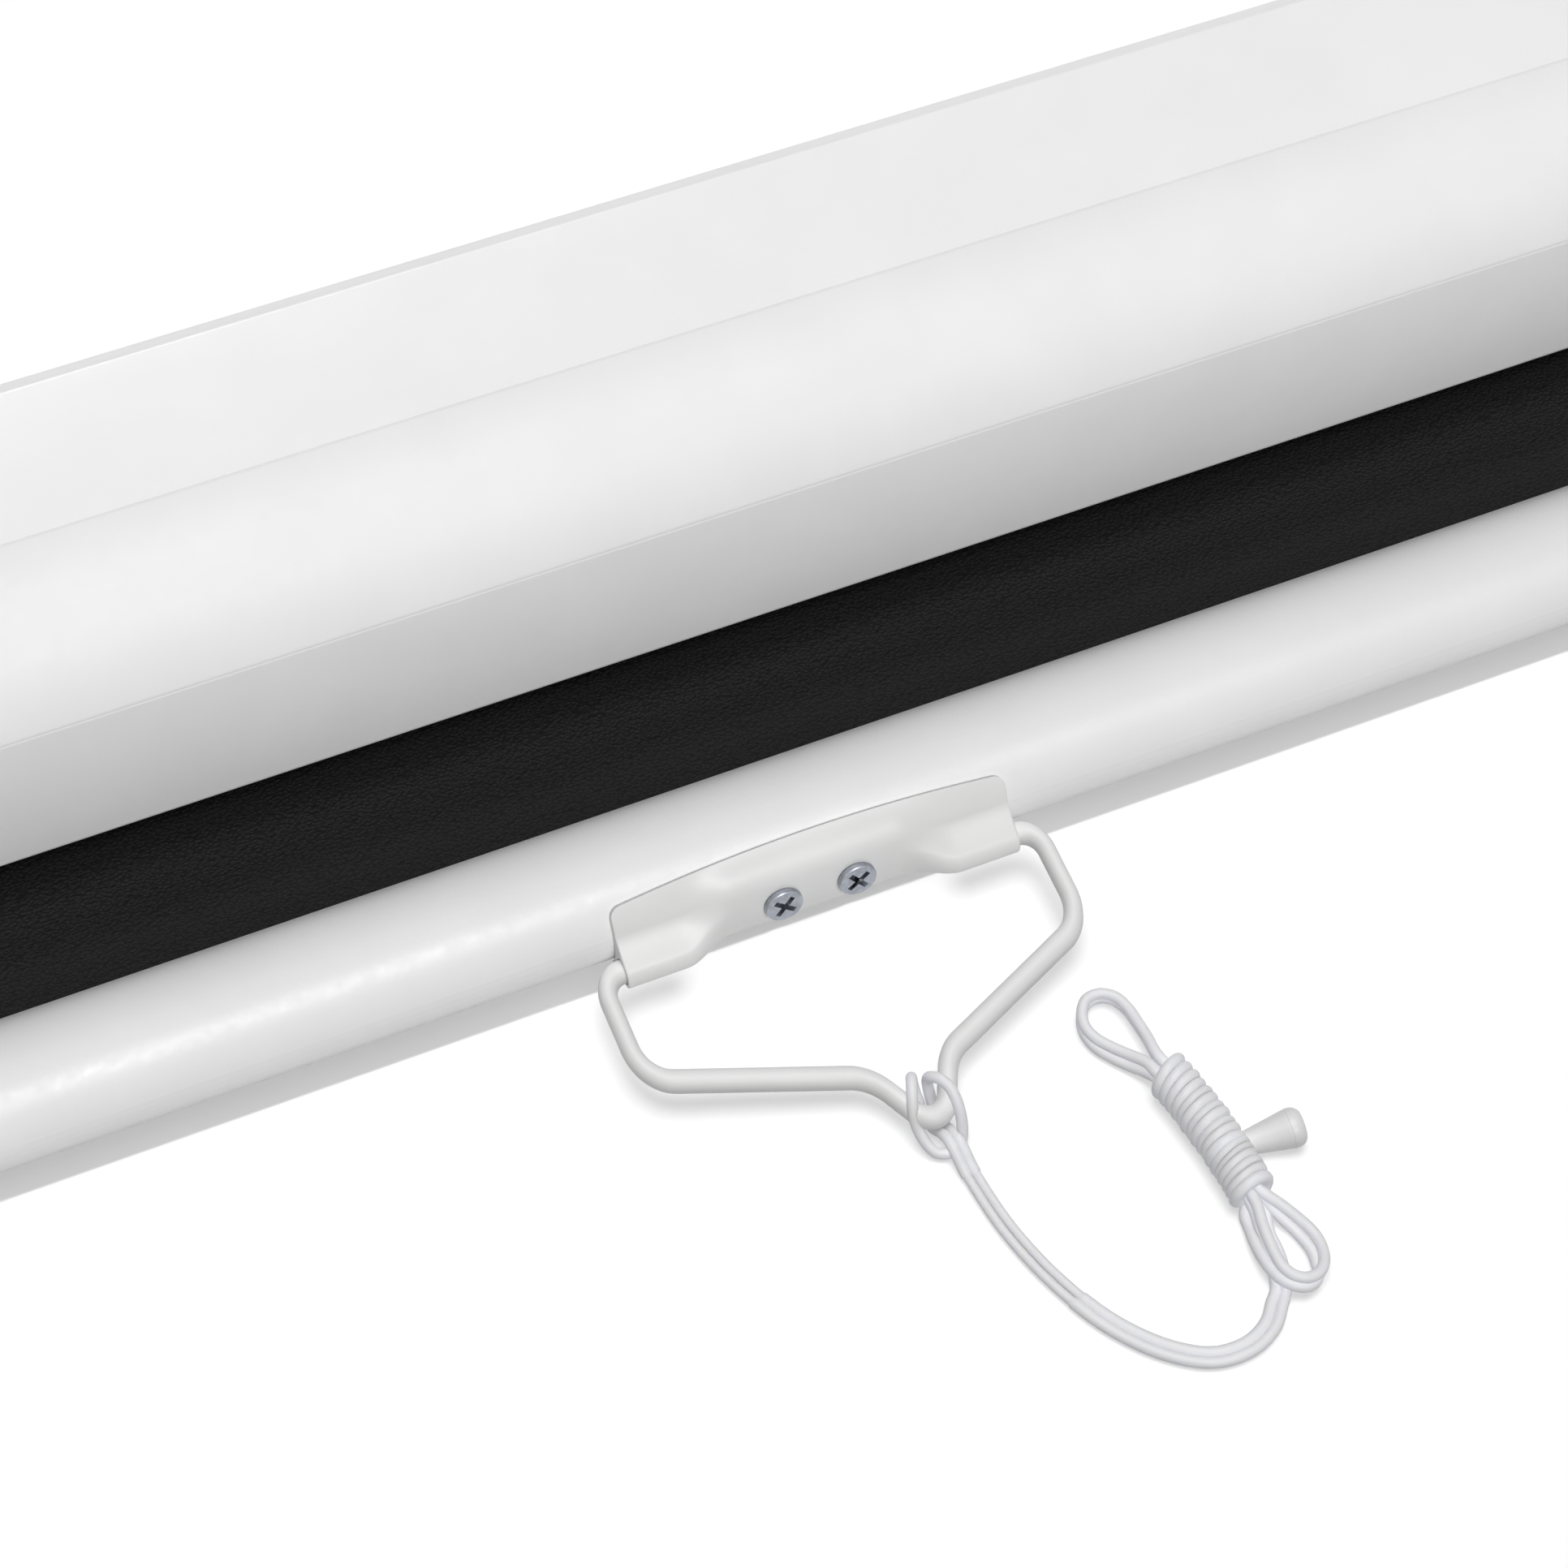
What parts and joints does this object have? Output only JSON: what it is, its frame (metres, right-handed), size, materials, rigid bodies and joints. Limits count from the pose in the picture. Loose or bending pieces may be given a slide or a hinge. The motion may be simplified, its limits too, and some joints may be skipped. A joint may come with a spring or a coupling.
{
  "type": "projector screen",
  "caption": "Wall-hung pull-down projector screen: octagonal case, spring roller with pawls, tube bar, handle clip, wire pull handle and a pull cord wound into a hank.",
  "frame": {"origin": "middle of the case's flat back, the face that goes against the wall", "axes": "+X along the case to the right as seen from the front when hung, -Y down the way the screen pulls out, +Z out from the wall"},
  "size_m": [2.4266, 0.2437, 0.08],
  "materials": {
    "white_paint": "white powder coat, fine orange peel",
    "white_plastic": "satin moulded white",
    "zinc_steel": "blue zinc plated",
    "screen_fabric": "matt white projection face",
    "black_fabric": "matt black border, fine pebble grain",
    "grey_nylon": "grey moulded nylon",
    "spring_steel": "dark drawn spring wire",
    "white_coating": "white dip coating on bent wire",
    "cord_nylon": "smooth translucent white cord"
  },
  "bodies": {
    "case": {"case_shell": "white_paint", "end_cap_left": "white_plastic", "end_cap_right": "white_plastic", "wall_bracket_left": "zinc_steel", "wall_bracket_right": "zinc_steel", "bracket_screw_left_1": "zinc_steel", "bracket_screw_left_2": "zinc_steel", "bracket_screw_right_1": "zinc_steel", "bracket_screw_right_2": "zinc_steel", "spring_shaft": "zinc_steel", "ratchet_wheel": "zinc_steel", "spring_anchor": "zinc_steel", "idle_pin": "zinc_steel"},
    "roller": {"roller_tube": "zinc_steel", "screen_roll": "screen_fabric", "drive_plug": "grey_nylon", "idle_plug": "grey_nylon", "shaft_bush": "grey_nylon", "pawl_cover": "zinc_steel", "pawl_pin_1": "zinc_steel", "pawl_pin_2": "zinc_steel", "torsion_spring": "spring_steel"},
    "pawl_a": {"pawl_1": "zinc_steel"},
    "pawl_b": {"pawl_2": "zinc_steel"},
    "bottom_bar": {"screen_sheet": "black_fabric", "hem_rod": "black_fabric", "bottom_tube": "white_paint", "bar_cap_left": "white_plastic", "bar_cap_right": "white_plastic", "handle_clip": "white_plastic", "clip_screw_1": "zinc_steel", "clip_screw_2": "zinc_steel"},
    "handle": {"pull_handle": "white_coating", "pull_cord": "cord_nylon", "cord_hank": "cord_nylon", "cord_knob": "white_plastic"}
  },
  "joints": [
    {"name": "screen_pull", "type": "slide", "parent": "case", "child": "bottom_bar", "axis": [0, -1, 0], "range_m": [-0.03, 1.245], "deforming": ["screen_sheet"]},
    {"name": "roller_turn", "type": "hinge", "parent": "case", "child": "roller", "pos_m": [0, 0, 0.03485], "axis": [-1, 0, 0], "range_deg": [-90, 3735], "deforming": ["torsion_spring"]},
    {"name": "pawl_a_drop", "type": "hinge", "parent": "roller", "child": "pawl_a", "pos_m": [-1.14705, 0, 0.04705], "axis": [1, 0, 0], "range_deg": [0, 15]},
    {"name": "pawl_b_drop", "type": "hinge", "parent": "roller", "child": "pawl_b", "pos_m": [-1.14705, 0, 0.02265], "axis": [1, 0, 0], "range_deg": [0, 15]},
    {"name": "handle_swing", "type": "hinge", "parent": "bottom_bar", "child": "handle", "pos_m": [0, -0.0953, 0.01], "axis": [-1, 0, 0], "range_deg": [-90, 105]}
  ],
  "couplings": [
    {"joint": "roller_turn", "follows": "screen_pull", "rad_per_m": 52.36}
  ]
}
